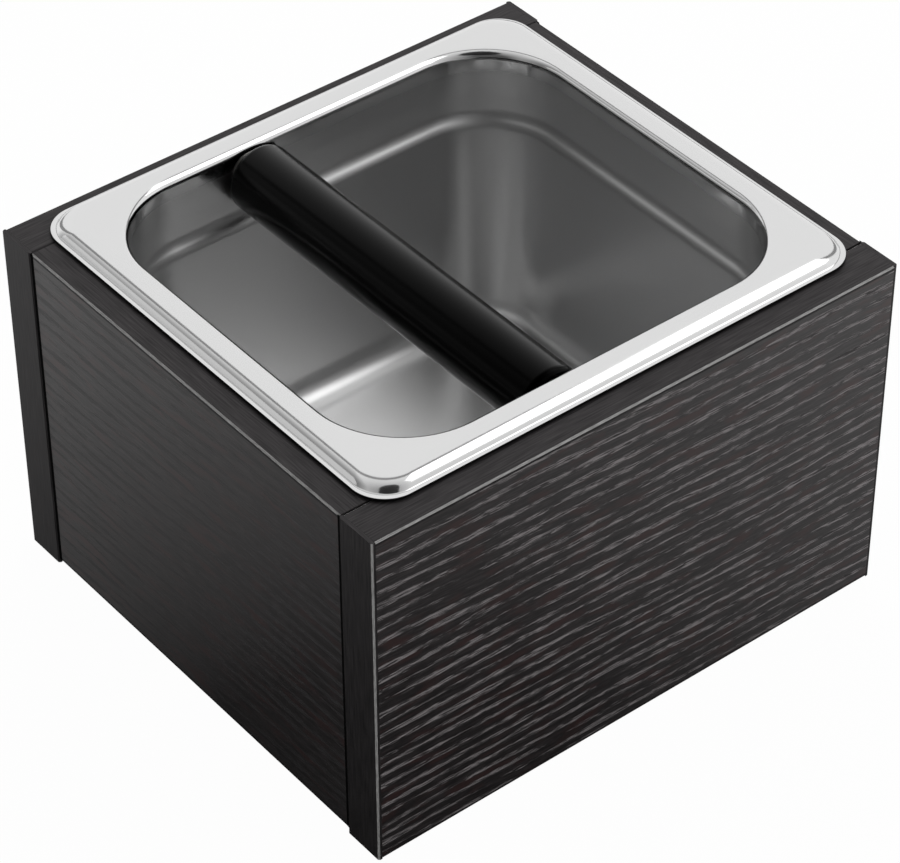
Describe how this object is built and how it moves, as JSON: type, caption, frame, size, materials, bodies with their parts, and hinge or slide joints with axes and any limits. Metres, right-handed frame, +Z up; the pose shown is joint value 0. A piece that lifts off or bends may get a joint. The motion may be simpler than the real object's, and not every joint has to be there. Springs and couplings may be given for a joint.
{
  "type": "espresso knock box",
  "caption": "Free-standing knock box: a lift-out steel pan with a rubber-covered bar across it hangs by its rim in an open case of dark wood-grain boards.",
  "frame": {"origin": "on the table, under the middle of the case", "axes": "+X runs to the right along the front panel, +Y to the back panel, +Z up"},
  "size_m": [0.1906, 0.175, 0.1265],
  "materials": {
    "board": "dark wood-grain melamine board, satin",
    "edge_band": "dark edge band, plain, with scraped paler corners",
    "dowel": "plain beech",
    "pan_steel": "drawn stainless steel, satin inside and bright on the rim",
    "bar_rubber": "black rubber, smooth and half glossy",
    "bar_steel": "plain turned steel rod",
    "screw_steel": "plain stainless fasteners",
    "foot_rubber": "dark grey rubber, matt"
  },
  "bodies": {
    "case": {"front_panel": "board", "back_panel": "board", "left_side_panel": "board", "right_side_panel": "board", "front_panel_top_band": "edge_band", "front_panel_bottom_band": "edge_band", "front_panel_left_end_band": "edge_band", "front_panel_right_end_band": "edge_band", "back_panel_top_band": "edge_band", "back_panel_bottom_band": "edge_band", "back_panel_left_end_band": "edge_band", "back_panel_right_end_band": "edge_band", "left_side_panel_top_band": "edge_band", "left_side_panel_bottom_band": "edge_band", "right_side_panel_top_band": "edge_band", "right_side_panel_bottom_band": "edge_band", "front_left_upper_dowel": "dowel", "front_left_lower_dowel": "dowel", "front_right_upper_dowel": "dowel", "front_right_lower_dowel": "dowel", "back_left_upper_dowel": "dowel", "back_left_lower_dowel": "dowel", "back_right_upper_dowel": "dowel", "back_right_lower_dowel": "dowel", "front_left_foot": "foot_rubber", "front_right_foot": "foot_rubber", "back_left_foot": "foot_rubber", "back_right_foot": "foot_rubber"},
    "pan": {"steel_pan": "pan_steel", "knock_bar_rod": "bar_steel", "knock_bar_sleeve": "bar_rubber", "front_bar_screw": "screw_steel", "rear_bar_screw": "screw_steel", "front_bar_washer": "screw_steel", "rear_bar_washer": "screw_steel"}
  },
  "joints": [
    {"name": "pan_lift", "type": "slide", "parent": "case", "child": "pan", "axis": [0, 0, 1], "range_m": [0, 0.1]}
  ]
}
